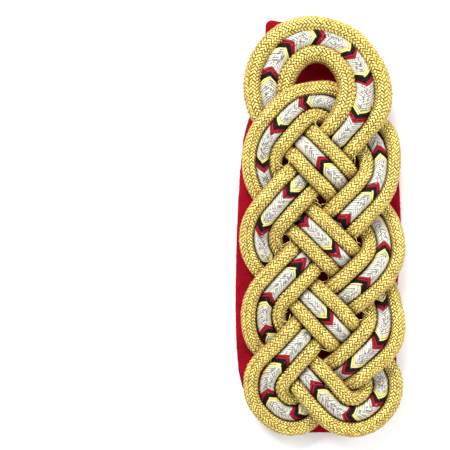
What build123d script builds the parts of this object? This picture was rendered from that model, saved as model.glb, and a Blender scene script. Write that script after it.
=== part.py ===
from build123d import *
from collections import namedtuple
from math import cos, radians, sin, tan
import os

# Shoulder board: a flat band of three cords, gold, silver and gold, is plaited over a felt underlay,
# which has a felt tongue below it. Millimetres, +Y towards the button eye, +Z up from the garment.

# The cords
cord_diameter = 3.85
cord_gap = 0.35        # between the three cords of the band, side by side
crossing_gap = 0.8     # between the band on top and the one below it, where they cross
cell_gap = 3.15        # between two bands of the plait that run the same way
band_angle = 43.95     # lean of the bands from the length of the board, in degrees
slope_share = 0.5      # share of the free run between two crossings that a cord takes to climb
dip_radius = 3.0       # rounding at the foot and the head of a climb
end_gap = 0.6          # between the two ends of the band, which meet under the last crossing
turn_clearance = 0.7   # straight stretch left between the arc of a turn and the next climb or turn
eye_spread = 1.12      # the band runs this much wider round the button eye

# The felt
underlay_thickness = 1.8
underlay_margin = 0.3  # how far the felt shows past the scallops
underlay_offset = 0.7  # the felt is sewn on a little to the left
tongue_thickness = 1.5
tongue_width = 24.0
tongue_tilt = 2.5      # lean of the tongue, in degrees
tongue_skew = 7.5      # slant of its end cut, in degrees
tongue_offset = 5.5    # and its tongue further, a strip cut off square
felt_gap = 0.1         # between the layers, and between the felt and the cords

cord_spacing = cord_diameter + cord_gap
band_width = 2 * cord_spacing + cord_diameter
band_pitch = band_width + cell_gap
column_pitch = band_pitch / 2 / cos(radians(band_angle))
level_pitch = band_pitch / 2 / sin(radians(band_angle))
lift = cord_diameter + crossing_gap
tongue_top = tongue_thickness
underlay_bottom = tongue_top + felt_gap
underlay_top = underlay_bottom + underlay_thickness
cord_low = underlay_top + felt_gap + cord_diameter / 2

# The plait hangs on a lattice: columns across the board, levels down it, level 1 at the first crossing.
# The band runs from turn to turn in straight sides and passes over and under by turns.
# rise is the height at the turn, as a share of the lift. arc is the share that the turn takes of the
# stretch beside it, up to the next climb or turn, and fan what the left-hand cord takes more than the
# middle one, and the right-hand one less. spread widens the side after the turn.
Turn = namedtuple("Turn", "column level rise arc fan spread")
turns = [
    Turn(-0.84, 7.84, 0.0, 0.5, 0, 1),
    Turn(-1.84, 6.84, 0.8, 0.5, 0, 1),
    Turn(2, 3, 0.25, 1, 0, 1),
    Turn(-1.80, -0.80, 0.0, 0.45, -0.045, eye_spread),
    Turn(-0.08, -2.90, 0.35, 0.55, 0.055, eye_spread),
    Turn(1.67, -0.67, 1.0, 0.45, -0.045, 1),
    Turn(-2, 3, 0.25, 1, 0, 1),
    Turn(1.84, 6.84, 0.0, 0.5, 0, 1),
    Turn(0.84, 7.84, 0.8, 0.5, 0, 1),
    Turn(-2, 5, 0.25, 1, 0, 1),
    Turn(2, 1, 0.25, 1, 0, 1),
    Turn(0, -0.94, 0.2, 1, 0, 1),
    Turn(-2, 1, 0.25, 1, 0, 1),
    Turn(2, 5, 0.25, 1, 0, 1),
]

# Half of the underlay's outline from the top down: width as a share of half the felt's width
Edge = namedtuple("Edge", "share level rounding")
underlay_edge = [
    Edge(0.78, -0.45, 2.0),
    Edge(0.91, 0.25, 8.0),
    Edge(1.00, 3.30, 40.0),
    Edge(1.00, 5.40, 40.0),
    Edge(0.93, 6.90, 12.0),
    Edge(0.62, 7.93, 9.0),
]
tongue_ends = (-2.58, 7.55)  # levels of the tongue's two ends


def place(column, level):
    """A point of the lattice."""
    return Vector(column * column_pitch, (1 - level) * level_pitch)


def cross(a, b):
    return a.X * b.Y - a.Y * b.X


def meet(start, along, point, other):
    """Distance from start, along its direction, to the line through point in the other direction."""
    return cross(point - start, other) / cross(along, other)


class Side:
    """A straight stretch of the band between two turns."""

    def __init__(self, turn, following):
        self.start = place(turn.column, turn.level)
        run = place(following.column, following.level) - self.start
        self.length = run.length
        self.along = run.normalized()
        self.left = Vector(-self.along.Y, self.along.X)
        self.spacing = cord_spacing * turn.spread

    def shifted(self, place_in_band):
        """Start of one cord's own line: 1 is the cord on the left, -1 the one on the right."""
        return self.start + self.left * (place_in_band * self.spacing)


sides = [Side(turn, turns[(i + 1) % len(turns)]) for i, turn in enumerate(turns)]


def crossed_by(i):
    """The other sides that cross side i, in the order in which it meets them."""
    side = sides[i]
    found = []
    for j, other in enumerate(sides):
        if (i - j) % len(sides) in (0, 1, len(sides) - 1) or abs(cross(side.along, other.along)) < 0.2:
            continue
        here = meet(side.start, side.along, other.start, other.along)
        there = meet(other.start, other.along, side.start, side.along)
        if 0 < here < side.length and 0 < there < other.length:
            found.append((here, other))
    return [other for here, other in sorted(found, key=lambda pair: pair[0])]


def climbs(i, place_in_band):
    """Where one cord ends its climb to each crossing on side i, and where it starts the next one."""
    side, others = sides[i], crossed_by(i)
    start = side.shifted(place_in_band)
    marks = [meet(start, side.along, other.start, other.along) for other in others]
    found = []
    for m, other in enumerate(others):
        lead_in = lead_out = other.spacing
        if m > 0:
            free = marks[m] - other.spacing - marks[m - 1] - others[m - 1].spacing
            lead_in += free * (1 - slope_share) / 2
        if m < len(others) - 1:
            free = marks[m + 1] - others[m + 1].spacing - marks[m] - other.spacing
            lead_out += free * (1 - slope_share) / 2
        found.append((marks[m] - lead_in, marks[m] + lead_out))
    return found


def corner_on(i, place_in_band):
    """Distance along one cord's line on side i to the turn at its start, and to the one at its end."""
    side, before, after = sides[i], sides[i - 1], sides[(i + 1) % len(sides)]
    start = side.shifted(place_in_band)
    return [meet(start, side.along, other.shifted(place_in_band), other.along) for other in (before, after)]


def turn_radius(i, place_in_band):
    """The radius of one cord at turn i, from the room on the tighter side of the turn."""
    half = radians(sides[i - 1].along.get_angle(sides[i].along)) / 2
    first, last = corner_on(i, place_in_band)
    after = climbs(i, place_in_band)
    room_after = (after[0][0] if after else last) - first
    first, last = corner_on(i - 1, place_in_band)
    before = climbs(i - 1, place_in_band)
    room_before = last - (before[-1][1] if before else first)
    room = [room_before, room_after]
    if turns[i].arc < 1:
        room = [room_before] * (not before) + [room_after] * (not after)
    arc = turns[i].arc + turns[i].fan * place_in_band
    return (min(room) - turn_clearance) * arc / tan(half)


def cord_route(place_in_band):
    """Corner points of one cord, with the radius at each turn and None where it climbs or dips."""
    last = sides[-1]
    start = last.shifted(place_in_band)
    under = crossed_by(len(sides) - 1)[-1]
    joint = start + last.along * meet(start, last.along, under.start, under.along)
    points = [joint + last.along * (end_gap / 2) + Vector(0, 0, cord_low)]
    radii = [None]
    over = True
    for i, side in enumerate(sides):
        start = side.shifted(place_in_band)
        corner = start + side.along * corner_on(i, place_in_band)[0]
        points.append(corner + Vector(0, 0, cord_low + turns[i].rise * lift))
        radii.append(turn_radius(i, place_in_band))
        for climb_ends, climb_starts in climbs(i, place_in_band):
            height = Vector(0, 0, cord_low + (lift if over else 0))
            points.append(start + side.along * climb_ends + height)
            points.append(start + side.along * climb_starts + height)
            radii += [None, None]
            over = not over
    points[-1] = joint - last.along * (end_gap / 2) + Vector(0, 0, cord_low)
    return points, radii


def half_turn(points, i):
    """Half of the angle by which the route turns at point i, in radians."""
    return radians((points[i] - points[i - 1]).get_angle(points[i + 1] - points[i])) / 2


def without_straight_points(points, radii):
    """The route without the climbs and dips where it keeps its height."""
    kept = [0]
    for i in range(1, len(points) - 1):
        bend = (points[i] - points[kept[-1]]).get_angle(points[i + 1] - points[i])
        if radii[i] is not None or bend > 0.01:
            kept.append(i)
    kept.append(len(points) - 1)
    return [points[i] for i in kept], [radii[i] for i in kept]


def filled_radii(points, radii):
    """All radii of the route: a dip has dip_radius, or what the stretches beside it leave room for."""
    filled = []
    for i in range(1, len(points) - 1):
        if radii[i] is not None:
            filled.append(radii[i])
            continue
        room = []
        for j in (i - 1, i + 1):
            run = (points[i] - points[j]).length
            if radii[j] is None:
                room.append(run * 0.45)
            else:
                room.append((run - radii[j] * tan(half_turn(points, j))) * 0.9)
        filled.append(min(dip_radius, min(room) / tan(half_turn(points, i))))
    return filled


def make_cord(place_in_band):
    """A round cord along its whole route."""
    points, radii = without_straight_points(*cord_route(place_in_band))
    with BuildPart() as cord:
        with BuildLine() as route:
            FilletPolyline(*points, radius=filled_radii(points, radii))
        with BuildSketch(Plane(origin=route.line @ 0, z_dir=route.line % 0)):
            Circle(cord_diameter / 2)
        sweep()
    length = route.wires()[0].length
    print("cord", place_in_band, "length", round(length, 1),
          "smallest radius", round(min(filled_radii(points, radii)), 2),
          "volume as a share of section by length",
          round(cord.part.volume / (length * Circle(cord_diameter / 2, mode=Mode.PRIVATE).area), 4))
    return cord


def scallop_reach():
    """How far the outer edge of the scallops lies from the middle of the board."""
    half = radians(band_angle)
    outermost = -1
    scallop = next(i for i, turn in enumerate(turns) if (turn.column, turn.level) == (2, 3))
    corner = 2 * column_pitch + cord_spacing / cos(half)
    return corner - turn_radius(scallop, outermost) * (1 / cos(half) - 1) + cord_diameter / 2


outer_gold_cord = make_cord(1)
silver_cord = make_cord(0)
inner_gold_cord = make_cord(-1)

with BuildPart() as felt_underlay:
    with BuildSketch(Plane.XY.offset(underlay_bottom)):
        with BuildLine():
            half_width = scallop_reach() + underlay_margin
            right = [place(0, edge.level) + Vector(-underlay_offset + edge.share * half_width, 0)
                     for edge in underlay_edge]
            left = [place(0, edge.level) + Vector(-underlay_offset - edge.share * half_width, 0)
                    for edge in underlay_edge]
            roundings = [edge.rounding for edge in underlay_edge]
            FilletPolyline(*right, *reversed(left), radius=roundings + roundings[::-1], close=True)
        make_face()
    extrude(amount=underlay_thickness)

with BuildPart() as felt_tongue:
    top_end, bottom_end = [place(0, level).Y for level in tongue_ends]
    middle = Plane(origin=(-tongue_offset, (top_end + bottom_end) / 2), z_dir=(0, 0, 1))
    with BuildSketch(middle.rotated((0, 0, -tongue_tilt))):
        with BuildLine():
            half_length = (top_end - bottom_end) / 2 / cos(radians(tongue_tilt))
            slant = tongue_width / 2 * tan(radians(tongue_skew))
            Polyline(
                (-tongue_width / 2, half_length + slant),
                (tongue_width / 2, half_length - slant),
                (tongue_width / 2, -half_length),
                (-tongue_width / 2, -half_length),
                close=True)
        make_face()
    extrude(amount=tongue_thickness)

pieces = {
    "outer_gold_cord": outer_gold_cord,
    "silver_cord": silver_cord,
    "inner_gold_cord": inner_gold_cord,
    "felt_underlay": felt_underlay,
    "felt_tongue": felt_tongue,
}

# The origin lies under the middle of the whole board
centre = Compound([piece.part for piece in pieces.values()]).bounding_box().center()
to_origin = Location((-centre.X, -centre.Y, 0))

os.makedirs("parts", exist_ok=True)
for name, piece in pieces.items():
    piece.part.label = name
    piece.part.locate(to_origin)
    export_step(piece.part, f"parts/{name}.step")
print("first crossing at", (round(-centre.X, 3), round(-centre.Y, 3)))
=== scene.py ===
from collections import namedtuple
from math import cos, pi, radians, sin, tan

import bmesh
import bpy
import numpy as np
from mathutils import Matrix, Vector, noise
from mathutils.kdtree import KDTree


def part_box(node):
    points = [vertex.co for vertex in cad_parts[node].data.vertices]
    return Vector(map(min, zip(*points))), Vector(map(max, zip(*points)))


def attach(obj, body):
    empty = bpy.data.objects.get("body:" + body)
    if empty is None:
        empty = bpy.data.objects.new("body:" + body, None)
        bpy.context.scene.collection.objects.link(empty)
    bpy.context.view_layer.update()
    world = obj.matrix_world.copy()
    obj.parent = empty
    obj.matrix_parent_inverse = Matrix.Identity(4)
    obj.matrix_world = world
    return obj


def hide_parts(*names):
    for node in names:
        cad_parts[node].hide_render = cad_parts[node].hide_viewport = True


# A shoulder board: three braided cords, gold, silver and gold, are plaited flat over a felt underlay,
# with a felt tongue below. The plait is worked out in millimetres, as the cords' solids are, and the
# finished pieces are in metres.

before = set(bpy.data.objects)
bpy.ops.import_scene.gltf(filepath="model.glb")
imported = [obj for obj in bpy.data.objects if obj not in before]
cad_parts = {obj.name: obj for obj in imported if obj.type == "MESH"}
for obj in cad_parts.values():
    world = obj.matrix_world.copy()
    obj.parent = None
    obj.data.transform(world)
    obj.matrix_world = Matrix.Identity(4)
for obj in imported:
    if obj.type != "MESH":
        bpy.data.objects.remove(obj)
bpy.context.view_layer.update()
mm = 0.001
Range = namedtuple("Range", "low high")

# The plait, as its solids have it
cord_diameter = 3.85
cord_gap = 0.35          # between the three cords of the band, side by side
crossing_gap = 0.8       # between the band on top and the one below it, where they cross
cell_gap = 3.15          # between two bands of the plait that run the same way
band_angle = 43.95       # lean of the bands from the length of the board, in degrees
slope_share = 0.5        # share of the free run between two crossings that a cord takes to climb
end_gap = 0.6            # between the two ends of the band, which meet under the last crossing
turn_clearance = 0.7     # straight stretch left between the arc of a turn and the next climb or turn
eye_spread = 1.12        # the band runs this much wider round the button eye
underlay_top = 3.4
felt_gap = 0.1           # between the felt and the cords
same_way = 0.2           # two sides run the same way where the sine of their angle is smaller

# The middle line of a cord
arc_points = 24          # in each turn
straight = 0.0001        # a smaller turn than this is none, in radians
ease = 1.2               # how far along it a stiff cord spreads each bend
bell_reach = 3           # how many times as far the spreading is followed
fine_step = 0.2          # between its points while it is worked out
line_spacing = 0.8       # between its points once it is finished

# The braid of a cord: its stitches lie in columns along it, and lean left and right by turns. pitch is
# from one stitch of a column to the next, lean is in degrees, and stagger is how much further on every
# other column lies, as a share of the pitch. A blunter stitch stays wide nearer to its ends, and stations
# is how many sections it has.
Braid = namedtuple("Braid", "radius columns pitch lean stagger length height blunt stations")
gold_braid = Braid(radius=2.2, columns=14, pitch=1.05, lean=42.0, stagger=0.5,
                   length=1.95, height=0.3, blunt=3.0, stations=5)
silver_braid = Braid(radius=2.2, columns=4, pitch=0.7, lean=55.0, stagger=0.5,
                     length=5.7, height=0.2, blunt=7.0, stations=9)
stitch_overlap = 1.5     # a stitch's width, of the room it has
foot = 0.1               # how deep a stitch reaches into the core
core_sides = 10

# How unevenly the stitches lie: across, along and outwards, then in radians, then as shares of their size
stitch_shift = Range((-0.06, -0.07, -0.04), (0.06, 0.07, 0.06))
stitch_waver = Range(-0.08, 0.08)
stitch_scale = Range((0.93, 0.95, 0.85), (1.07, 1.05, 1.15))

# A stitch is some threads side by side, with metal foil wound round each
threads_in_stitch = 3
thread_relief = 0.07
foil_windings = 7.9      # on a millimetre
foil_relief = 0.18       # as a share of the threads' own

# The felt
felt_grain = 0.55        # of the felt's mesh
wave_width = 1.7         # of the unevenness of its faces
wave_height = 0.05
wave_seed = 20
nap_density = 1.3        # fibres on a square millimetre
nap_length = 0.7
bare_side = -0.5         # no fibre grows where the felt's face points further down than this
fibre_radius = 0.04
fibre_foot = 0.05        # how deep a fibre starts below the felt's face
fibre_bend = 0.08        # how far its middle leans one way, and its tip half as far the other way
fibre_taper = 0.7        # how wide its middle is, as a share of its foot
fibre_lie = Range((0.9, -0.3, 0.0), (1.45, 0.3, 2 * pi))  # how it is turned, in radians
fibre_scale = Range((0.6, 0.6, 0.5), (1.2, 1.2, 1.3))

# The view: straight down, with the middle of the picture to the left of the board
view_height = 300.0      # above the plait
view_width = 128.25      # what the picture takes in at that distance
view_middle = (-27.1, 0.4)
view_roll = 0.7          # the board leans this much to the left, in degrees
plait_height = 8.0

cord_spacing = cord_diameter + cord_gap
band_pitch = 2 * cord_spacing + cord_diameter + cell_gap
column_pitch = band_pitch / 2 / cos(radians(band_angle))
level_pitch = band_pitch / 2 / cos(radians(90 - band_angle))
lift = cord_diameter + crossing_gap
cord_low = underlay_top + felt_gap + cord_diameter / 2

# The plait hangs on a lattice: columns across the board, levels down it, level 1 at the first crossing.
# The band runs from turn to turn in straight sides and passes over and under by turns.
# rise is the height at the turn, as a share of the lift. arc is the share that the turn takes of the
# stretch beside it, up to the next climb or turn, and fan what the left-hand cord takes more than the
# middle one, and the right-hand one less. spread widens the side after the turn.
Turn = namedtuple("Turn", "column level rise arc fan spread")
turns = [
    Turn(-0.84, 7.84, 0.0, 0.5, 0, 1),
    Turn(-1.84, 6.84, 0.8, 0.5, 0, 1),
    Turn(2, 3, 0.25, 1, 0, 1),
    Turn(-1.80, -0.80, 0.0, 0.45, -0.045, eye_spread),
    Turn(-0.08, -2.90, 0.35, 0.55, 0.055, eye_spread),
    Turn(1.67, -0.67, 1.0, 0.45, -0.045, 1),
    Turn(-2, 3, 0.25, 1, 0, 1),
    Turn(1.84, 6.84, 0.0, 0.5, 0, 1),
    Turn(0.84, 7.84, 0.8, 0.5, 0, 1),
    Turn(-2, 5, 0.25, 1, 0, 1),
    Turn(2, 1, 0.25, 1, 0, 1),
    Turn(0, -0.86, 0.2, 1, 0, 1),
    Turn(-2, 1, 0.25, 1, 0, 1),
    Turn(2, 5, 0.25, 1, 0, 1),
]

# The woven marks of the silver cord: how far along it the black tip of each one that shows lies, and how
# many there are since the one before
Mark = namedtuple("Mark", "place count")
marks = [
    Mark(9.5, 0), Mark(20.8, 1), Mark(31.8, 1), Mark(66.9, 3), Mark(78.6, 1), Mark(111.9, 3),
    Mark(144.5, 3), Mark(154.0, 1), Mark(163.6, 1), Mark(173.9, 1), Mark(182.6, 1), Mark(193.4, 1),
    Mark(225.8, 3), Mark(238.1, 1), Mark(273.3, 3), Mark(305.5, 3), Mark(315.2, 1), Mark(327.4, 1),
    Mark(350.6, 2), Mark(360.8, 1), Mark(372.9, 1), Mark(395.5, 2), Mark(406.6, 1), Mark(418.4, 1),
    Mark(447.6, 2), Mark(457.9, 1), Mark(469.4, 1), Mark(492.4, 2), Mark(503.5, 1), Mark(527.5, 2),
    Mark(539.0, 1), Mark(549.1, 1),
]
mark_spacing = 11.5      # before the first and after the last of them
red_reach = 2.1          # ahead of the middle of the black
black_reach = 0.75       # to both sides of it
yellow_reach = 1.8       # behind it
rim_reach = 5.5          # behind it, along the sides of the cord
rim_turn = 42.0          # how far round from the cord's crown the yellow starts there, in degrees
rim_taper = 25.0         # how much further round it starts at its back end
rim_fade = 10.0          # over how many degrees it starts

# How full each cord is round the button eye, where nothing presses on it, and how far that goes along it
# from the top of its loop: 1 is the outer gold cord, 0 the silver one and -1 the inner gold one
Loop = namedtuple("Loop", "fullness reach")
loops = {1: Loop(1.2, 46.0), 0: Loop(1.25, 38.0), -1: Loop(1.27, 28.0)}
loop_fade = 6.0          # over how much of its length a cord comes back to its own thickness

# The inner gold cord is drawn in towards the middle of the button eye, all of it above eye_top
eye_inwards = 0.15
eye_middle = (-0.7, 44.5)
eye_top = 41.0
eye_fade = 6.0           # how far below it that starts

# Where a hand drew the plait a little out of its even shape: the place, how far that reaches and how much
# the plait moves there
Nudge = namedtuple("Nudge", "x y reach right up")
nudges = [
    Nudge(6.0, 58.5, 10.0, -0.8, -1.6),
    Nudge(17.5, 49.0, 5.0, -0.6, -0.5),
    Nudge(2.0, 49.0, 8.0, 0.7, 0.8),
    Nudge(-2.0, 41.5, 4.0, 0.0, -1.2),
    Nudge(21.0, 29.5, 4.5, 1.2, 0.6),
    Nudge(0.0, 34.5, 7.0, -0.7, 0.0),
    Nudge(-10.5, 30.0, 6.0, -0.7, 0.3),
    Nudge(9.5, 31.5, 5.0, -0.7, -0.2),
    Nudge(-22.8, 19.8, 9.0, 1.1, 0.0),
    Nudge(-3.0, 14.0, 8.0, -0.4, -0.7),
    Nudge(-9.0, 10.5, 5.0, -0.8, 0.1),
    Nudge(13.5, 12.0, 6.0, 0.4, -1.0),
    Nudge(2.0, -2.0, 8.0, 0.4, -0.8),
    Nudge(21.5, -4.0, 8.0, 0.2, -1.5),
    Nudge(24.0, 14.5, 6.0, -0.9, 0.0),
    Nudge(23.0, -12.0, 5.0, 0.4, 0.0),
    Nudge(24.5, -21.5, 4.0, -0.9, 0.0),
    Nudge(13.0, -16.0, 5.0, 1.9, -0.2),
    Nudge(2.8, -23.5, 5.0, 0.9, -0.2),
    Nudge(-13.0, -22.4, 6.0, 0.9, 0.7),
    Nudge(22.4, -34.6, 5.0, 0.9, -0.5),
    Nudge(16.5, -36.0, 5.0, -0.2, -0.9),
    Nudge(7.0, -40.0, 5.0, 1.2, 0.8),
    Nudge(-20.5, -37.2, 4.0, -1.1, 0.0),
    Nudge(-11.7, -42.6, 5.0, 1.0, 0.4),
    Nudge(0.5, -50.0, 7.0, -1.1, 0.2),
    Nudge(9.0, -54.0, 5.0, -0.8, 0.4),
    Nudge(-15.4, -57.4, 7.0, 0.7, 0.3),
]

# Painted shade darkens the cords in the creases between them: how near another cord's middle line that
# starts and is full
crease_far = 2.85
crease_near = 2.3

# Threads worn loose round the plait's small cells, which lie at these columns and levels
cells = [(-1, 1), (1, 1), (-1, 3), (1, 3), (-1, 5), (1, 5), (0, 0), (0, 2), (0, 4), (0, 6)]
threads_at_cell = 6
thread_radius = 0.08
thread_points = 9
thread_sweep = Range(0.8, 2.2)    # how far round the cell's middle it goes, in radians
thread_reach = Range(1.5, 2.5)    # how far from the cell's middle its ends are
thread_height = Range(6.8, 9.6)   # how high they lie
thread_hump = Range(0.4, 1.4)     # how much higher its middle lies
thread_pull = 0.25                # how much nearer the cell its middle is, as a share of its reach

# The felts' outlines, seen from above
tongue_outline = [(-14.6, 60.4), (9.3, 56.2), (4.4, -54.6), (-19.5, -53.5)]
tongue_corner = 2.0      # how far each corner is rounded
underlay_outline = [
    (-16.0, 35.3), (-5.0, 35.6), (15.3, 34.9), (20.4, 29.6), (22.9, 21.5), (23.6, 13.4), (23.7, 7.0),
    (24.0, 0.6), (24.0, -7.5), (22.8, -17.3), (22.9, -24.8), (22.6, -33.5), (22.1, -38.1), (22.1, -45.1),
    (20.3, -52.3), (14.7, -57.0), (9.0, -59.0), (3.1, -60.2), (-3.5, -60.0), (-10.5, -58.8),
    (-17.1, -55.9), (-20.8, -51.2), (-22.8, -46.2), (-23.7, -42.2), (-24.2, -35.8), (-24.4, -24.2),
    (-24.0, -6.9), (-23.3, 6.1), (-22.6, 15.7), (-21.5, 25.5), (-19.8, 31.6),
]
underlay_corner = 1.1


def place(column, level):
    """A point of the plait's lattice."""
    return np.array([column * column_pitch, (1 - level) * level_pitch])


def cross(a, b):
    return a[0] * b[1] - a[1] * b[0]


def meet(start, along, point, other):
    """Distance from start, along its direction, to the line through point in the other direction."""
    return cross(point - start, other) / cross(along, other)


class Side:
    """A straight stretch of the band between two turns."""

    def __init__(self, turn, following):
        self.start = place(turn.column, turn.level)
        run = place(following.column, following.level) - self.start
        self.length = np.linalg.norm(run)
        self.along = run / self.length
        self.left = np.array([-self.along[1], self.along[0]])
        self.spacing = cord_spacing * turn.spread

    def shifted(self, place_in_band):
        """Start of one cord's own line: 1 is the cord on the left, -1 the one on the right."""
        return self.start + self.left * (place_in_band * self.spacing)


sides = [Side(turn, turns[(i + 1) % len(turns)]) for i, turn in enumerate(turns)]


def crossed_by(i):
    """The other sides that cross side i, in the order in which it meets them."""
    side = sides[i]
    beside = (0, 1, len(sides) - 1)
    found = []
    for j, other in enumerate(sides):
        if (i - j) % len(sides) in beside or abs(cross(side.along, other.along)) < same_way:
            continue
        here = meet(side.start, side.along, other.start, other.along)
        there = meet(other.start, other.along, side.start, side.along)
        if 0 < here < side.length and 0 < there < other.length:
            found.append((here, j))
    return [sides[j] for here, j in sorted(found)]


def run_of(i, place_in_band):
    """One cord on side i: where its line starts, how far along it the cord starts and ends, and where its
    climb or dip before each crossing ends and the one after it starts."""
    side, others = sides[i], crossed_by(i)
    start = side.shifted(place_in_band)
    ends = [meet(start, side.along, other.shifted(place_in_band), other.along)
            for other in (sides[i - 1], sides[(i + 1) % len(sides)])]
    found = [meet(start, side.along, other.start, other.along) for other in others]
    climbs = []
    for m, other in enumerate(others):
        lead = [other.spacing, other.spacing]
        for end, n in enumerate((m - 1, m + 1)):
            if 0 <= n < len(others):
                free = abs(found[n] - found[m]) - others[n].spacing - other.spacing
                lead[end] += free * (1 - slope_share) / 2
        climbs.append((found[m] - lead[0], found[m] + lead[1]))
    return start, ends, climbs


def turn_radius(i, place_in_band):
    """The radius of one cord at turn i, from the room on the tighter side of the turn."""
    half = np.arccos(np.dot(sides[i - 1].along, sides[i].along)) / 2
    _, (first, last), after = run_of(i, place_in_band)
    room_after = (after[0][0] if after else last) - first
    _, (first, last), before = run_of(i - 1, place_in_band)
    room_before = last - (before[-1][1] if before else first)
    room = [room_before, room_after]
    if turns[i].arc < 1:
        room = [room_before] * (not before) + [room_after] * (not after)
    arc = turns[i].arc + turns[i].fan * place_in_band
    return (min(room) - turn_clearance) * arc / tan(half)


def cord_route(place_in_band):
    """Corner points of one cord, with the radius at each turn and 0 where it climbs or dips."""
    last = sides[-1]
    under = crossed_by(len(sides) - 1)[-1]
    start = last.shifted(place_in_band)
    joint = start + last.along * meet(start, last.along, under.start, under.along)
    points = [(*(joint + last.along * end_gap / 2), cord_low)]
    radii = [0]
    over = True
    for i, side in enumerate(sides):
        start, ends, climbs = run_of(i, place_in_band)
        points.append((*(start + side.along * ends[0]), cord_low + turns[i].rise * lift))
        radii.append(turn_radius(i, place_in_band))
        for climb in climbs:
            for reached in climb:
                points.append((*(start + side.along * reached), cord_low + lift * over))
                radii.append(0)
            over = not over
    points[-1] = (*(joint - last.along * end_gap / 2), cord_low)
    return np.array(points), radii


def eased_line(points, radii):
    """Even points of a cord's middle line: its turns are arcs, and it goes gently into each bend."""
    share = np.linspace(0, 1, arc_points)[:, None]
    line = [points[:1]]
    for before, corner, after, radius in zip(points, points[1:], points[2:], radii[1:]):
        back, ahead = [(end - corner) / np.linalg.norm(end - corner) for end in (before, after)]
        half = np.arccos(-np.dot(back, ahead)) / 2
        if not radius and half < straight:
            continue
        reach = radius * tan(half)
        weights = (1 - share) ** 2, 2 * share * (1 - share) * cos(half), share ** 2
        arc = (weights[0] * (corner + back * reach) + weights[1] * corner
               + weights[2] * (corner + ahead * reach)) / sum(weights)
        line.append(arc if radius else corner[None])
    line.append(points[-1:])
    line = np.concatenate(line)
    travel = np.concatenate([[0], np.cumsum(np.linalg.norm(np.diff(line, axis=0), axis=1))])
    even = np.arange(0, travel[-1], fine_step)
    reach = int(bell_reach * ease / fine_step)
    bell = np.exp(-0.5 * (np.arange(-reach, reach + 1) * fine_step / ease) ** 2)
    bell /= bell.sum()
    eased = []
    for axis in range(3):
        padded = np.pad(np.interp(even, travel, line[:, axis]), reach, "reflect", reflect_type="odd")
        eased.append(np.convolve(padded, bell, "valid"))
    return np.array(eased).T[::round(line_spacing / fine_step)]


def smooth_share(values):
    """Goes smoothly from 0 to 1 as the values do."""
    share = np.clip(values, 0, 1)
    return share * share * (3 - 2 * share)


def nudged(line, inwards):
    """The line as the hand left it, and drawn inwards round the button eye."""
    moved = line.copy()
    for nudge in nudges:
        away = np.hypot(line[:, 0] - nudge.x, line[:, 1] - nudge.y)
        share = np.exp(-0.5 * (away / nudge.reach) ** 2)
        moved[:, 0] += share * nudge.right
        moved[:, 1] += share * nudge.up
    inward = np.array(eye_middle) - line[:, :2]
    inward /= np.linalg.norm(inward, axis=1)[:, None]
    share = smooth_share((line[:, 1] - eye_top + eye_fade) / eye_fade)
    moved[:, :2] += inward * (inwards * share)[:, None]
    return moved


def colour(code):
    """Linear colour from an sRGB hex value."""
    parts = [int(code[i:i + 2], 16) / 255 for i in (0, 2, 4)]
    return tuple(c / 12.92 if c <= 0.04045 else ((c + 0.055) / 1.055) ** 2.4 for c in parts) + (1,)


def add(tree, kind, inputs=None, **settings):
    """Adds a node with its settings. An input goes by its name or its number, and its value is a plain
    one, a node's output, or a node, which stands for its first output in use."""
    made = tree.nodes.new(kind)
    for name, value in settings.items():
        setattr(made, name, value)
    for name, value in (inputs or {}).items():
        socket = made.inputs[name] if isinstance(name, int) else next(
            socket for socket in made.inputs if socket.enabled and socket.name == name)
        if isinstance(value, bpy.types.Node):
            value = next(output for output in value.outputs if output.enabled)
        if isinstance(value, bpy.types.NodeSocket):
            tree.links.new(value, socket)
        else:
            socket.default_value = value
    return made


def new_material(name):
    made = bpy.data.materials.new(name)
    made.use_nodes = True
    made.node_tree.nodes.clear()
    return made, made.node_tree


def paint_stops(ramp, stops):
    """Sets the colours of a ramp, from a list of positions and hex values."""
    elements = ramp.color_ramp.elements
    while len(elements) < len(stops):
        elements.new(0.5)
    for element, (position, code) in zip(elements, stops):
        element.position = position
        element.color = colour(code)


def wound_threads(tree, braid):
    """The relief of a stitch: its threads lie side by side, each with foil wound round it. Gives the
    bump, and a share that falls from 1 on top of a thread to 0 in the groove beside it."""
    uv = add(tree, "ShaderNodeSeparateXYZ", {0: add(tree, "ShaderNodeUVMap", uv_map="UVMap")})
    across = add(tree, "ShaderNodeMath", {
        0: uv.outputs["X"], 1: pi * threads_in_stitch}, operation="MULTIPLY")
    rounding = add(tree, "ShaderNodeMath", {0: across}, operation="SINE")
    crown = add(tree, "ShaderNodeMath", {0: rounding}, operation="ABSOLUTE")
    windings = round(foil_windings * braid.length)
    along = add(tree, "ShaderNodeMath", {
        0: uv.outputs["Y"], 1: 2 * pi * windings, 2: across}, operation="MULTIPLY_ADD")
    ripple = add(tree, "ShaderNodeMath", {0: along}, operation="SINE")
    wound = add(tree, "ShaderNodeMath", {
        0: ripple, 1: foil_relief, 2: crown}, operation="MULTIPLY_ADD")
    bump = add(tree, "ShaderNodeBump", {
        "Strength": 0.6, "Distance": thread_relief * mm, "Height": wound})
    return bump, crown


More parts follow.
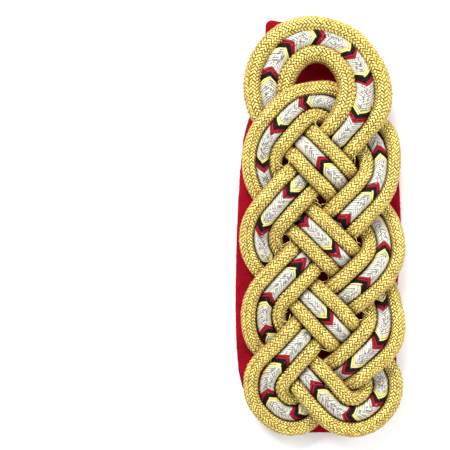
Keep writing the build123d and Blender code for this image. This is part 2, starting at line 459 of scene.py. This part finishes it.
def gilt_thread():
    """Gilt metal thread, braided.

    Each stitch is gold, painted pale yellow on its crown as a highlight and a deeper gold towards its
    foot and on the core as shade. No two are quite as bright or as warm. The cord's flanks get a warm
    brown painted shade, and where cords lie against each other they get a brown painted crease shade.
    """
    made, tree = new_material("gilt_thread")
    bump, crown = wound_threads(tree, gold_braid)
    tone, height, crease_shade, turn = [
        add(tree, "ShaderNodeAttribute", attribute_name=name).outputs["Fac"]
        for name in ("tone", "height", "crease_shade", "turn")]
    # Painted highlight and shade: by its height, each stitch is lighter on its crown and darker towards
    # its foot and on the core
    ramp = add(tree, "ShaderNodeValToRGB", {0: height})
    paint_stops(ramp, [(0.0, "8E6C28"), (0.15, "B89840"), (0.45, "DCC468"), (1.0, "F2E68E")])
    # A hue of 0.5 leaves the colour as it is, and a smaller one is warmer
    hue = add(tree, "ShaderNodeMapRange", {"Value": tone, "To Min": 0.491, "To Max": 0.505})
    stitch_light = add(tree, "ShaderNodeMapRange", {"Value": tone, "To Min": 0.82, "To Max": 1.14})
    # Painted shade: each thread is lighter on its top and darker in the groove beside it
    thread_light = add(tree, "ShaderNodeMapRange", {"Value": crown, "To Min": 0.77, "To Max": 1.12})
    varied = add(tree, "ShaderNodeHueSaturation", {
        "Hue": hue, "Color": ramp,
        "Value": add(tree, "ShaderNodeMath", {0: stitch_light, 1: thread_light}, operation="MULTIPLY")})
    # Painted shade on the flanks: a warm brown, by how far round the cord they are from its crown
    flank_shade = add(tree, "ShaderNodeMapRange", {
        "Value": add(tree, "ShaderNodeMath", {0: turn}, operation="ABSOLUTE"),
        "From Min": radians(45), "From Max": radians(85), "To Max": 0.6},
        interpolation_type="SMOOTHSTEP")
    flank_shaded = add(tree, "ShaderNodeMix", {
        "Factor": flank_shade, "A": varied, "B": colour("A0642A")}, data_type="RGBA")
    # Painted shade: brown in the creases where the cords lie close against each other
    crease_shade_share = add(tree, "ShaderNodeMath", {0: crease_shade, 1: 0.75}, operation="MULTIPLY")
    crease_shaded = add(tree, "ShaderNodeMix", {
        "Factor": crease_shade_share, "A": flank_shaded, "B": colour("4A2C0C")}, data_type="RGBA")
    shader = add(tree, "ShaderNodeBsdfPrincipled", {
        "Base Color": crease_shaded, "Metallic": 0.55, "Roughness": 0.36, "Normal": bump})
    add(tree, "ShaderNodeOutputMaterial", {"Surface": shader})
    return made


def silvered_thread():
    """Silvered metal thread, braided, with silk in the marks.

    The metal is a soft white, painted lighter on the crowns of its stitches and darker towards their ends
    as shade, with grey strokes near its crown painted as the shade in the gaps between its strands. The
    silk is matt: crimson, near black, and a pale yellow that borders each silver stretch at its forward
    end and along its sides, painted darker between its stitches as shade. Where cords lie against each
    other they get a dark painted crease shade.
    """
    made, tree = new_material("silvered_thread")
    bump, crown = wound_threads(tree, silver_braid)
    tone, height, crease_shade, turn = [
        add(tree, "ShaderNodeAttribute", attribute_name=name).outputs["Fac"]
        for name in ("tone", "height", "crease_shade", "turn")]
    # Painted highlight and shade: by its height, each stitch is lighter on its crown and darker towards
    # its ends and on the core
    ramp = add(tree, "ShaderNodeValToRGB", {0: height})
    paint_stops(ramp, [(0.0, "ACA69A"), (0.25, "CBC6B8"), (0.6, "DEDBCE"), (1.0, "E9E6DC")])

    # Painted shade: near the cord's crown the gaps between the strands are painted grey here and there,
    # for less
    #     # than a millimetre. Each stitch has a place of its own in the noise, by its tone, and so in
    #     part has each thread.
    from_crown = add(tree, "ShaderNodeMath", {
        0: add(tree, "ShaderNodeMath", {0: turn}, operation="ABSOLUTE"), 1: silver_braid.radius},
        operation="MULTIPLY")
    in_noise = add(tree, "ShaderNodeCombineXYZ", {
        "X": add(tree, "ShaderNodeMath", {0: tone, 1: 90.0}, operation="MULTIPLY"),
        "Y": add(tree, "ShaderNodeMath", {0: from_crown, 1: 2.8}, operation="MULTIPLY"),
        "Z": add(tree, "ShaderNodeMath", {0: crown, 1: 0.6}, operation="MULTIPLY")})
    grain = add(tree, "ShaderNodeTexNoise", {"Vector": in_noise, "Scale": 1.0, "Detail": 1.0})
    gap_shade = add(tree, "ShaderNodeMapRange", {
        "Value": grain.outputs["Fac"], "From Min": 0.48, "From Max": 0.58})
    near_crown = add(tree, "ShaderNodeMapRange", {
        "Value": from_crown, "From Min": 0.9, "From Max": 1.4, "To Min": 0.85, "To Max": 0.08},
        interpolation_type="SMOOTHSTEP")
    gap_shaded = add(tree, "ShaderNodeMix", {
        "Factor": add(tree, "ShaderNodeMath", {0: gap_shade, 1: near_crown}, operation="MULTIPLY"),
        "A": ramp, "B": colour("6C6A70")}, data_type="RGBA")
    stitch_light = add(tree, "ShaderNodeMapRange", {"Value": tone, "To Min": 0.92, "To Max": 1.08})
    # Painted shade: each thread is darker in the groove beside it
    thread_light = add(tree, "ShaderNodeMapRange", {"Value": crown, "To Min": 0.8, "To Max": 1.03})
    dyed = add(tree, "ShaderNodeHueSaturation", {
        "Color": gap_shaded,
        "Value": add(tree, "ShaderNodeMath", {0: stitch_light, 1: thread_light}, operation="MULTIPLY")})

    # The silks, which are painted darker between their stitches as shade, and aren't metal
    silk_light = add(tree, "ShaderNodeMapRange", {"Value": height, "To Min": 0.45, "To Max": 1.1})
    full_metal = 0.3
    metal = full_metal
    for name, code in (("yellow_silk", "E4DA86"), ("black_silk", "0E080C"), ("red_silk", "980F22")):
        share = add(tree, "ShaderNodeAttribute", attribute_name=name).outputs["Fac"]
        silk = add(tree, "ShaderNodeHueSaturation", {"Value": silk_light, "Color": colour(code)})
        dyed = add(tree, "ShaderNodeMix", {"Factor": share, "A": dyed, "B": silk}, data_type="RGBA")
        bare = add(tree, "ShaderNodeMath", {0: 1.0, 1: share}, operation="SUBTRACT")
        metal = add(tree, "ShaderNodeMath", {0: metal, 1: bare}, operation="MULTIPLY")
    # Painted shade: dark brown in the creases where the cords lie close against each other
    crease_shade_share = add(tree, "ShaderNodeMath", {0: crease_shade, 1: 0.8}, operation="MULTIPLY")
    crease_shaded = add(tree, "ShaderNodeMix", {
        "Factor": crease_shade_share, "A": dyed, "B": colour("261B12")}, data_type="RGBA")
    roughness = add(tree, "ShaderNodeMapRange", {
        "Value": metal, "From Max": full_metal, "To Min": 0.65, "To Max": 0.42})
    shader = add(tree, "ShaderNodeBsdfPrincipled", {
        "Base Color": crease_shaded, "Metallic": metal, "Roughness": roughness, "Normal": bump,
        "Specular IOR Level": 0.2})
    add(tree, "ShaderNodeOutputMaterial", {"Surface": shader})
    return made


def wool_felt():
    """Pressed and dyed wool felt: matt crimson, clouded where the wool took the dye unevenly."""
    made, tree = new_material("wool_felt")
    where = add(tree, "ShaderNodeTexCoord").outputs["Object"]
    # Fibres a third of a millimetre apart, coarser than real ones so that they show, and clouds of 4 mm
    fibres = add(tree, "ShaderNodeTexNoise", {
        "Vector": where, "Scale": 3 / mm, "Detail": 4.0, "Roughness": 0.7})
    clouds = add(tree, "ShaderNodeTexNoise", {"Vector": where, "Scale": 1 / (4 * mm), "Detail": 2.0})
    both = add(tree, "ShaderNodeMath", {
        0: fibres.outputs["Fac"], 1: clouds.outputs["Fac"]}, operation="ADD")
    half = add(tree, "ShaderNodeMath", {0: both, 1: 0.5}, operation="MULTIPLY")
    ramp = add(tree, "ShaderNodeValToRGB", {0: half})
    paint_stops(ramp, [(0.35, "740516"), (0.65, "A60B20")])
    bump = add(tree, "ShaderNodeBump", {"Strength": 0.6, "Distance": 0.15 * mm, "Height": fibres})
    shader = add(tree, "ShaderNodeBsdfPrincipled", {
        "Base Color": ramp, "Roughness": 0.95, "Normal": bump, "Specular IOR Level": 0.1,
        "Sheen Weight": 0.04, "Sheen Roughness": 0.5, "Sheen Tint": colour("E02840")})
    add(tree, "ShaderNodeOutputMaterial", {"Surface": shader})
    return made


def studio_card():
    """A pale sheet of studio card: matt, with a faint tooth about a millimetre wide."""
    made, tree = new_material("studio_card")
    where = add(tree, "ShaderNodeTexCoord").outputs["Object"]
    tooth = add(tree, "ShaderNodeTexNoise", {"Vector": where, "Scale": 0.9 / mm})
    bump = add(tree, "ShaderNodeBump", {"Strength": 0.05, "Distance": 0.1 * mm, "Height": tooth})
    shader = add(tree, "ShaderNodeBsdfPrincipled", {
        "Base Color": colour("FAFAF8"), "Roughness": 0.9, "Normal": bump})
    add(tree, "ShaderNodeOutputMaterial", {"Surface": shader})
    return made


def put_in_scene(name, data):
    made = bpy.data.objects.new(name, data)
    bpy.context.scene.collection.objects.link(made)
    return made


def mesh_object(name, points, faces):
    mesh = bpy.data.meshes.new(name)
    mesh.from_pydata([tuple(point) for point in points], [], faces)
    return put_in_scene(name, mesh)


def plain_copy(made, name):
    """The evaluated object as a plain mesh object of its own, in the place of the first one."""
    evaluated = made.evaluated_get(bpy.context.evaluated_depsgraph_get())
    mesh = bpy.data.meshes.new_from_object(evaluated)
    mesh.name = name
    made.modifiers.clear()
    bpy.data.objects.remove(made)
    return put_in_scene(name, mesh)


def made_by(tree, name, values):
    """Runs a node tree with its named inputs and keeps the result as a plain mesh object."""
    host = mesh_object(name + "_host", [], [])
    modifier = host.modifiers.new("nodes", "NODES")
    modifier.node_group = tree
    for item in tree.interface.items_tree:
        if item.in_out == "INPUT":
            modifier[item.identifier] = values[item.name]
    return plain_copy(host, name)


def stitch(name, braid):
    """A closed stitch that lies along Y and dips at both ends, with its height and its own UV map."""
    width = stitch_overlap * braid.pitch * sin(radians(abs(braid.lean)))
    points, heights = [], []
    for along in np.linspace(-0.5, 0.5, braid.stations):
        full = 1 - abs(2 * along) ** braid.blunt
        for across in (-0.5, 0, 0.5) if full else (0,):
            crown = full * (not across)
            points.append((across * full ** 0.5 * width * mm, along * braid.length * mm,
                           (crown * (braid.height + foot) - foot) * mm))
            heights.append(crown)
    # Each section between the two end points has three points, so n and m are neighbours in it
    faces = []
    last = len(points) - 1
    for n in range(3):
        m = (n + 1) % 3
        faces.append((0, 1 + n, 1 + m))
        for here in range(1, last - 3, 3):
            faces.append((here + n, here + 3 + n, here + 3 + m, here + m))
        faces.append((last, last - 3 + m, last - 3 + n))
    made = mesh_object(name, points, faces)
    mesh = made.data
    mesh.attributes.new("height", "FLOAT", "POINT").data.foreach_set("value", heights)
    uv = mesh.uv_layers.new(name="UVMap")
    for loop in mesh.loops:
        x, y, _ = points[loop.vertex_index]
        uv.data[loop.index].uv = (x / width / mm + 0.5, y / braid.length / mm + 0.5)
    mesh.shade_smooth()
    return made


def node_group(name, kinds):
    """A new node tree with these inputs and one mesh as its output."""
    tree = bpy.data.node_groups.new(name, "GeometryNodeTree")
    for label, kind in kinds.items():
        tree.interface.new_socket(label, in_out="INPUT", socket_type="NodeSocket" + kind)
    tree.interface.new_socket("Mesh", in_out="OUTPUT", socket_type="NodeSocketGeometry")
    return tree, add(tree, "NodeGroupInput").outputs


def braid_tree():
    """Stitches in columns round a route, leaning left and right by turns, over a plain core."""
    tree, given = node_group("braided_cord", {
        "Route": "Object", "Stitch": "Object", "Columns": "Int", "Pitch": "Float", "Radius": "Float",
        "Core Radius": "Float", "End": "Float", "Lean": "Float", "Stagger": "Float", "Seed": "Int",
        "Finish": "Material"})

    # The cord's skin, laid out flat: X goes round the cord and Y along it
    route = add(tree, "GeometryNodeObjectInfo", {"Object": given["Route"]}).outputs["Geometry"]
    length = add(tree, "GeometryNodeCurveLength", {"Curve": route})
    around = add(tree, "ShaderNodeMath", {0: given["Radius"], 1: 2 * pi}, operation="MULTIPLY")
    width = add(tree, "ShaderNodeMath", {0: around, 1: given["Columns"]}, operation="DIVIDE")
    room = add(tree, "ShaderNodeMath", {0: length, 1: given["End"]}, operation="SUBTRACT")
    grid = add(tree, "GeometryNodeMeshGrid", {
        "Size X": add(tree, "ShaderNodeMath", {0: around, 1: width}, operation="SUBTRACT"),
        "Size Y": room, "Vertices X": given["Columns"],
        "Vertices Y": add(tree, "ShaderNodeMath", {0: room, 1: given["Pitch"]}, operation="DIVIDE")})
    flat = add(tree, "ShaderNodeSeparateXYZ", {0: add(tree, "GeometryNodeInputPosition")}).outputs
    half_length = add(tree, "ShaderNodeMath", {0: length, 1: 0.5}, operation="MULTIPLY")
    along = add(tree, "ShaderNodeMath", {0: flat["Y"], 1: half_length}, operation="ADD")
    turn = add(tree, "ShaderNodeMath", {0: flat["X"], 1: given["Radius"]}, operation="DIVIDE")

    # Every other column leans the other way, and lies a little further on
    column = add(tree, "ShaderNodeMath", {
        0: add(tree, "ShaderNodeMath", {0: flat["X"], 1: width}, operation="DIVIDE"), 1: 0.5},
        operation="ADD")
    odd = add(tree, "ShaderNodeMath", {
        0: add(tree, "ShaderNodeMath", {0: column}, operation="ROUND"), 1: 2.0},
        operation="FLOORED_MODULO")
    side = add(tree, "ShaderNodeMapRange", {"Value": odd, "To Min": -1.0, "To Max": 1.0})
    staggered = add(tree, "ShaderNodeMath", {
        0: given["Pitch"], 1: given["Stagger"]}, operation="MULTIPLY")
    further = add(tree, "ShaderNodeMath", {0: side, 1: staggered}, operation="MULTIPLY")
    to_both_sides = add(tree, "ShaderNodeCombineXYZ", {
        "Y": add(tree, "ShaderNodeMath", {0: further, 1: 0.5}, operation="MULTIPLY")})
    uneven = add(tree, "FunctionNodeRandomValue", {
        "Min": [value * mm for value in stitch_shift.low],
        "Max": [value * mm for value in stitch_shift.high],
        "Seed": given["Seed"]}, data_type="FLOAT_VECTOR")
    placed = add(tree, "GeometryNodeSetPosition", {
        "Geometry": grid,
        "Offset": add(tree, "ShaderNodeVectorMath", {0: uneven, 1: to_both_sides}, operation="ADD")})

    # Each stitch is told how far along the cord it lies and gets a tone, a lean and a size of its own
    tone_seed, lean_seed, size_seed = [
        add(tree, "ShaderNodeMath", {0: given["Seed"], 1: further_on}, operation="ADD")
        for further_on in (1.0, 2.0, 3.0)]
    tone = add(tree, "FunctionNodeRandomValue", {"Seed": tone_seed}, data_type="FLOAT")
    labelled = placed
    for name, value in (("stitch_along", along), ("tone", tone)):
        labelled = add(tree, "GeometryNodeStoreNamedAttribute", {
            "Geometry": labelled, "Name": name, "Value": value}, data_type="FLOAT", domain="POINT")
    leaning = add(tree, "ShaderNodeMath", {0: given["Lean"], 1: side}, operation="MULTIPLY")
    wavering = add(tree, "FunctionNodeRandomValue", {
        "Min": stitch_waver.low, "Max": stitch_waver.high, "Seed": lean_seed}, data_type="FLOAT")
    laid = add(tree, "GeometryNodeInstanceOnPoints", {
        "Points": labelled,
        "Instance": add(tree, "GeometryNodeObjectInfo", {"Object": given["Stitch"]}).outputs["Geometry"],
        "Rotation": add(tree, "ShaderNodeCombineXYZ", {
            "Z": add(tree, "ShaderNodeMath", {0: leaning, 1: wavering}, operation="ADD")}),
        "Scale": add(tree, "FunctionNodeRandomValue", {
            "Min": stitch_scale.low, "Max": stitch_scale.high, "Seed": size_seed},
            data_type="FLOAT_VECTOR")})
    strip = add(tree, "GeometryNodeRealizeInstances", {"Geometry": laid})
    strip = add(tree, "GeometryNodeStoreNamedAttribute", {
        "Geometry": strip, "Name": "turn", "Value": turn}, data_type="FLOAT", domain="POINT")

    # The flat skin is wrapped round the route
    sampled = add(tree, "GeometryNodeSampleCurve", {
        "Curves": route, "Value": add(tree, "GeometryNodeInputRadius"), "Length": along},
        mode="LENGTH").outputs
    level = add(tree, "ShaderNodeVectorMath", {0: sampled["Tangent"], 1: (0, 0, 1)},
                operation="CROSS_PRODUCT")
    up = add(tree, "ShaderNodeVectorMath", {
        0: add(tree, "ShaderNodeVectorMath", {0: level, 1: sampled["Tangent"]},
               operation="CROSS_PRODUCT")}, operation="NORMALIZE")
    outwards = add(tree, "ShaderNodeVectorRotate", {
        "Vector": up, "Axis": sampled["Tangent"], "Angle": turn}, rotation_type="AXIS_ANGLE")
    reach = add(tree, "ShaderNodeMath", {
        0: add(tree, "ShaderNodeMath", {0: given["Core Radius"], 1: flat["Z"]}, operation="ADD"),
        1: sampled["Value"]}, operation="MULTIPLY")
    wrapped = add(tree, "GeometryNodeSetPosition", {
        "Geometry": strip,
        "Position": add(tree, "ShaderNodeVectorMath", {
            0: sampled["Position"],
            1: add(tree, "ShaderNodeVectorMath", {0: outwards, "Scale": reach}, operation="SCALE")},
            operation="ADD")})

    # The core is told the same, so that the silk of a mark shows between its stitches too
    measured = add(tree, "GeometryNodeStoreNamedAttribute", {
        "Geometry": route, "Name": "stitch_along",
        "Value": add(tree, "GeometryNodeSplineParameter").outputs["Length"]},
        data_type="FLOAT", domain="POINT")
    core = add(tree, "GeometryNodeCurveToMesh", {
        "Curve": measured,
        "Profile Curve": add(tree, "GeometryNodeCurvePrimitiveCircle", {
            "Resolution": core_sides, "Radius": given["Core Radius"]}),
        "Scale": add(tree, "GeometryNodeInputRadius"), "Fill Caps": True})
    joined = add(tree, "GeometryNodeJoinGeometry", {"Geometry": wrapped})
    tree.links.new(core.outputs[0], joined.inputs[0])
    smooth = add(tree, "GeometryNodeSetShadeSmooth", {
        "Geometry": add(tree, "GeometryNodeRealizeInstances", {"Geometry": joined})})
    add(tree, "NodeGroupOutput", {"Mesh": add(tree, "GeometryNodeSetMaterial", {
        "Geometry": smooth, "Material": given["Finish"]})})
    return tree


def nap_tree():
    """Short bent fibres that lie every way on a felt, but not under it."""
    tree, given = node_group("felt_nap", {
        "Felt": "Object", "Fibre": "Object", "Density": "Float", "Seed": "Int", "Finish": "Material"})
    felt = add(tree, "GeometryNodeObjectInfo", {"Object": given["Felt"]}).outputs["Geometry"]
    normal = add(tree, "GeometryNodeInputNormal").outputs["Normal"]
    facing = add(tree, "ShaderNodeSeparateXYZ", {0: normal})
    roots = add(tree, "GeometryNodeDistributePointsOnFaces", {
        "Mesh": felt, "Density": given["Density"], "Seed": given["Seed"],
        "Selection": add(tree, "FunctionNodeCompare", {0: facing.outputs["Z"], 1: bare_side},
                         operation="GREATER_THAN")}, distribute_method="RANDOM")
    lying = add(tree, "FunctionNodeEulerToRotation", {
        0: add(tree, "FunctionNodeRandomValue", {
            "Min": fibre_lie.low, "Max": fibre_lie.high, "Seed": given["Seed"]},
            data_type="FLOAT_VECTOR")})
    laid = add(tree, "GeometryNodeInstanceOnPoints", {
        "Points": roots.outputs["Points"],
        "Instance": add(tree, "GeometryNodeObjectInfo", {"Object": given["Fibre"]}).outputs["Geometry"],
        "Rotation": add(tree, "FunctionNodeRotateRotation", {
            0: roots.outputs["Rotation"], 1: lying}, rotation_space="LOCAL"),
        "Scale": add(tree, "FunctionNodeRandomValue", {
            "Min": fibre_scale.low, "Max": fibre_scale.high, "Seed": given["Seed"]},
            data_type="FLOAT_VECTOR")})
    joined = add(tree, "GeometryNodeJoinGeometry", {"Geometry": laid})
    tree.links.new(felt, joined.inputs[0])
    add(tree, "NodeGroupOutput", {"Mesh": add(tree, "GeometryNodeSetMaterial", {
        "Geometry": add(tree, "GeometryNodeRealizeInstances", {"Geometry": joined}),
        "Material": given["Finish"]})})
    return tree


def curve_object(name, points, fullness):
    """A route that the node tree follows, with how full the cord is at each point as its radius."""
    data = bpy.data.curves.new(name, "CURVE")
    data.dimensions = "3D"
    spline = data.splines.new("POLY")
    spline.points.add(len(points) - 1)
    for point, position, full in zip(spline.points, points, fullness):
        point.co = (*position, 1)
        point.radius = full
    return put_in_scene(name, data)


def values_of(mesh, name):
    values = np.zeros(len(mesh.vertices), np.float32)
    mesh.attributes[name].data.foreach_get("value", values)
    return values


def keep_values(mesh, name, values):
    kept = mesh.attributes.new(name, "FLOAT", "POINT")
    kept.data.foreach_set("value", np.asarray(values, np.float32))


def weave_marks(piece, braid):
    """Which silk shows at each point of the silver cord: a black row, a red one ahead of it, and yellow
    behind."""
    along = values_of(piece.data, "stitch_along") / mm
    turn = np.degrees(np.abs(values_of(piece.data, "turn")))

    # The marks that show, one more at each end, and even ones between them where a crossing hides some
    places = np.array([mark.place for mark in marks])
    numbers = np.cumsum([mark.count for mark in marks])
    places = np.concatenate([[places[0] - mark_spacing], places, [places[-1] + mark_spacing]])
    numbers = np.concatenate([[-1], numbers, [numbers[-1] + 1]])
    centres = np.interp(np.arange(numbers[0], numbers[-1] + 1), numbers, places)

    # How far ahead of its own mark's black each point lies. The marks were placed by their tips, and a
    # stitch's tip is further on than its middle
    tip = pi * braid.radius / braid.columns / tan(radians(abs(braid.lean)))
    ahead = along[:, None] + tip - centres[None]
    ahead = ahead[np.arange(len(along)), np.abs(ahead + yellow_reach).argmin(axis=1)]
    behind = (-ahead - yellow_reach) / (rim_reach - yellow_reach)
    rim = smooth_share((turn - rim_turn - rim_taper * np.clip(behind, 0, 1)) / rim_fade)
    keep_values(piece.data, "red_silk", (ahead > black_reach) & (ahead < red_reach))
    keep_values(piece.data, "black_silk", np.abs(ahead) <= black_reach)
    keep_values(piece.data, "yellow_silk", np.where(
        ahead < -yellow_reach, rim * (behind < 1), ahead < -black_reach))


def find_crease_shade(piece, others):
    """How deep each point lies between this cord and the ones beside it, from 0 to 1, which sets its
    painted crease shade.
    """
    points = np.concatenate(others)
    tree = KDTree(len(points))
    for n, point in enumerate(points):
        tree.insert(Vector(point), n)
    tree.balance()
    near = np.array([tree.find(vertex.co)[2] for vertex in piece.data.vertices]) / mm
    keep_values(piece.data, "crease_shade", smooth_share((crease_far - near) / (crease_far - crease_near)))


def light(name, position, size, power):
    """A soft square light that faces the board."""
    data = bpy.data.lights.new(name, "AREA")
    data.size = size
    data.energy = power
    made = put_in_scene(name, data)
    made.location = position
    made.rotation_euler = (-Vector(position)).to_track_quat("-Z", "Y").to_euler()


def cord_piece(name, node, place_in_band, braid, tree, form, finish, seed):
    """One braided cord, put where its solid is."""
    line = lines[place_in_band]
    loop = loops[place_in_band]
    from_top = np.abs(np.arange(len(line)) - line[:, 1].argmax()) * line_spacing
    fullness = 1 + (loop.fullness - 1) * smooth_share((loop.reach - from_top) / loop_fade)
    route = curve_object(name + "_route", line * mm, fullness)
    piece = made_by(tree, name, {
        "Route": route, "Stitch": form, "Columns": braid.columns, "Pitch": braid.pitch * mm,
        "Radius": braid.radius * mm, "Core Radius": (braid.radius - braid.height) * mm,
        "End": braid.length * cos(radians(braid.lean)) * mm, "Lean": radians(braid.lean),
        "Stagger": braid.stagger, "Seed": seed, "Finish": finish})
    bpy.data.objects.remove(route)
    find_crease_shade(piece, [lines[k] * mm for k in lines if k != place_in_band])
    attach(piece, "root")
    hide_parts(node)
    return piece


def loose_threads(name, finish, seed):
    """Threads that spring from one cord's flank and go back into another's beside a cell."""
    rng = np.random.default_rng(seed)
    data = bpy.data.curves.new(name, "CURVE")
    data.dimensions = "3D"
    data.bevel_depth = thread_radius * mm
    data.bevel_resolution = 1
    data.use_fill_caps = True
    share = np.linspace(0, 1, thread_points)
    swell = np.sin(pi * share)
    for column, level in cells:
        x, y = place(column, level) + to_frame[:2]
        for _ in range(threads_at_cell):
            first = rng.uniform(0, 2 * pi)
            sweep = rng.uniform(*thread_sweep)
            reach = rng.uniform(*thread_reach)
            low = rng.uniform(*thread_height)
            hump = rng.uniform(*thread_hump)
            turn = first + sweep * share
            away = reach * (1 - thread_pull * swell)
            line = np.array([x + away * np.cos(turn), y + away * np.sin(turn), low + hump * swell])
            spline = data.splines.new("POLY")
            spline.points.add(len(share) - 1)
            for point, position in zip(spline.points, line.T * mm):
                point.co = (*position, 1)
    piece = plain_copy(put_in_scene(name, data), name)
    piece.data.materials.clear()
    piece.data.materials.append(finish)
    piece.data.shade_smooth()
    # They are painted with a bright stitch's crown highlight, and with no painted crease shade
    for attribute, value in (("height", 0.9), ("tone", 0.7), ("crease_shade", 0.0), ("turn", 0.0)):
        keep_values(piece.data, attribute, np.full(len(piece.data.vertices), value))
    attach(piece, "root")


def felt_piece(name, node, outline, corner, tree, fibre, finish, seed):
    """One layer of felt at its solid's place and thickness, with soft cut edges and a nap."""
    low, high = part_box(node)
    shell = bmesh.new()
    cut = shell.faces.new([shell.verts.new((x * mm, y * mm, low.z)) for x, y in outline])
    area = cut.calc_area()
    raised = bmesh.ops.extrude_face_region(shell, geom=[cut])["geom"]
    bmesh.ops.translate(shell, vec=(0, 0, high.z - low.z),
                        verts=[part for part in raised if isinstance(part, bmesh.types.BMVert)])
    upright = [edge for edge in shell.edges if edge.verts[0].co.z != edge.verts[1].co.z]
    bmesh.ops.bevel(shell, geom=upright, offset=corner * mm, segments=4, profile=0.5, affect="EDGES")
    bmesh.ops.recalc_face_normals(shell, faces=shell.faces)
    mesh = bpy.data.meshes.new(name + "_sheet")
    shell.to_mesh(mesh)
    shell.free()
    sheet = put_in_scene(name + "_sheet", mesh)
    even = sheet.modifiers.new("even", "REMESH")
    even.mode = "VOXEL"
    even.voxel_size = felt_grain * mm
    soft = sheet.modifiers.new("soft", "SMOOTH")
    soft.iterations = 4
    sheet = plain_copy(sheet, name + "_sheet")
    for vertex in sheet.data.vertices:
        vertex.co += noise.noise_vector(vertex.co / (wave_width * mm)) * wave_height * mm
    piece = made_by(tree, name, {
        "Felt": sheet, "Fibre": fibre, "Density": nap_density / mm ** 2, "Seed": seed,
        "Finish": finish})
    for vertex in piece.data.vertices:
        vertex.co.z = max(vertex.co.z, low.z)
    piece.data.shade_smooth()
    bpy.data.objects.remove(sheet)
    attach(piece, "root")
    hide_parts(node)


def fibre_form():
    """A bent wool fibre that stands along Z."""
    corners = [(cos(a) * fibre_radius * mm, sin(a) * fibre_radius * mm)
               for a in (0, 2 * pi / 3, 4 * pi / 3)]
    points = [(x, y, -fibre_foot * mm) for x, y in corners]
    points += [(x * fibre_taper + fibre_bend * mm, y * fibre_taper, nap_length / 2 * mm)
               for x, y in corners]
    points += [(-fibre_bend / 2 * mm, 0, nap_length * mm)]
    faces = [(2, 1, 0)]
    for n in range(3):
        m = (n + 1) % 3
        faces += [(n, m, 3 + m, 3 + n), (3 + n, 3 + m, 6)]
    return mesh_object("wool_fibre", points, faces)


# The camera
camera_data = bpy.data.cameras.new("camera")
camera_data.lens = camera_data.sensor_width * view_height / view_width
camera_data.clip_start = 0.01
camera_data.clip_end = 10.0
camera = put_in_scene("camera", camera_data)
camera.location = (view_middle[0] * mm, view_middle[1] * mm, (view_height + plait_height) * mm)
camera.rotation_euler = (0, 0, -radians(view_roll))
bpy.context.scene.camera = camera

# The three cords
lines = {k: eased_line(*cord_route(k)) for k in (1, 0, -1)}
low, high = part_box("outer_gold_cord")
solid_middle = (low + high) / 2 / mm
line_middle = (lines[1].min(axis=0) + lines[1].max(axis=0)) / 2
to_frame = np.array([solid_middle.x - line_middle[0], solid_middle.y - line_middle[1], 0])
lines = {k: nudged(lines[k] + to_frame, eye_inwards * (k == -1)) for k in lines}
tree = braid_tree()
gilt = gilt_thread()
gold_stitch = stitch("gold_stitch", gold_braid)
silver_stitch = stitch("silver_stitch", silver_braid)
cord_piece("outer_gold_braid", "outer_gold_cord", 1,
           gold_braid, tree, gold_stitch, gilt, seed=11)
cord_piece("inner_gold_braid", "inner_gold_cord", -1,
           gold_braid, tree, gold_stitch, gilt, seed=13)
silver = cord_piece("silver_braid", "silver_cord", 0,
                    silver_braid, tree, silver_stitch, silvered_thread(), seed=12)
weave_marks(silver, silver_braid)
loose_threads("loose_gilt_threads", gilt, seed=14)

# The felt. Unseeded, its waves would lie elsewhere in each run
noise.seed_set(wave_seed)
tree = nap_tree()
felt = wool_felt()
fibre = fibre_form()
felt_piece("tongue_felt", "felt_tongue", tongue_outline, tongue_corner,
           tree, fibre, felt, seed=22)
felt_piece("underlay_felt", "felt_underlay", underlay_outline, underlay_corner,
           tree, fibre, felt, seed=21)

# The forms that were copied are no pieces themselves
for used in (gold_stitch, silver_stitch, fibre):
    bpy.data.objects.remove(used)

# The floor and the light
floor = mesh_object("floor", [(-1, -1, 0), (1, -1, 0), (1, 1, 0), (-1, 1, 0)], [(0, 1, 2, 3)])
floor.data.materials.append(studio_card())
light("key", (-0.2, 0.38, 0.4), size=0.3, power=4.8)
light("fill", (0.4, 0.1, 0.4), size=0.35, power=2.0)
light("front", (-0.05, -0.4, 0.4), size=0.35, power=0.9)
world = bpy.data.worlds.new("studio")
bpy.context.scene.world = world
world.use_nodes = True
backdrop = world.node_tree.nodes["Background"].inputs
backdrop["Color"].default_value = (1, 1, 1, 1)
backdrop["Strength"].default_value = 0.5
bpy.context.scene.view_settings.view_transform = "Standard"
